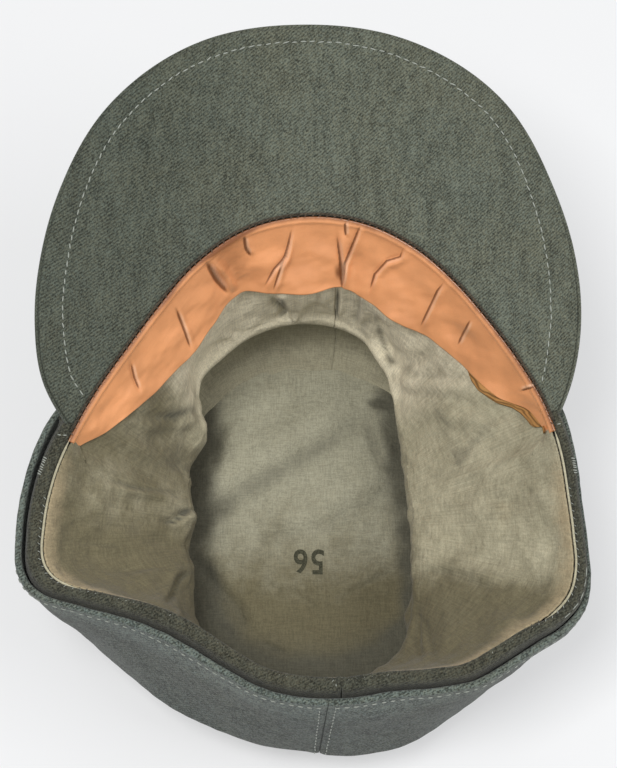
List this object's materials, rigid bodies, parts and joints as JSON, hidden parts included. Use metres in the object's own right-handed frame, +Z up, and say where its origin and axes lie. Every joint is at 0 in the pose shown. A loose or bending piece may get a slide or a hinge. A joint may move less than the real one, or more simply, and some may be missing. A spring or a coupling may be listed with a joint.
{
  "type": "peaked field cap",
  "caption": "Soft wool field cap with a long stiff peak, a turned-up curtain, a cotton lining and a leather sweatband, lying on its crown.",
  "frame": {"origin": "on the surface that the cap lies on, under the middle of its box", "axes": "+Z up, out of the head opening; -Y towards the tip of the peak; +Y towards the back seam; -X is the wearer's left"},
  "size_m": [0.2018, 0.2436, 0.133],
  "materials": {
    "wool_cloth": "matt heathered grey-green twill wool",
    "cotton_lining": "matt olive-grey cotton twill, stained and creased",
    "leather": "semi-gloss tan leather with creases",
    "painted_buttons": "satin grey-green paint"
  },
  "bodies": {
    "root": {"crown_top": "wool_cloth", "crown_side_left": "wool_cloth", "crown_side_right": "wool_cloth", "curtain_left": "wool_cloth", "curtain_right": "wool_cloth", "peak_board": "wool_cloth", "peak_under_cloth": "wool_cloth", "sweatband": "leather", "lining_side_left": "cotton_lining", "lining_side_right": "cotton_lining", "lining_top": "cotton_lining", "button_1": "painted_buttons", "button_2": "painted_buttons"}
  },
  "joints": []
}
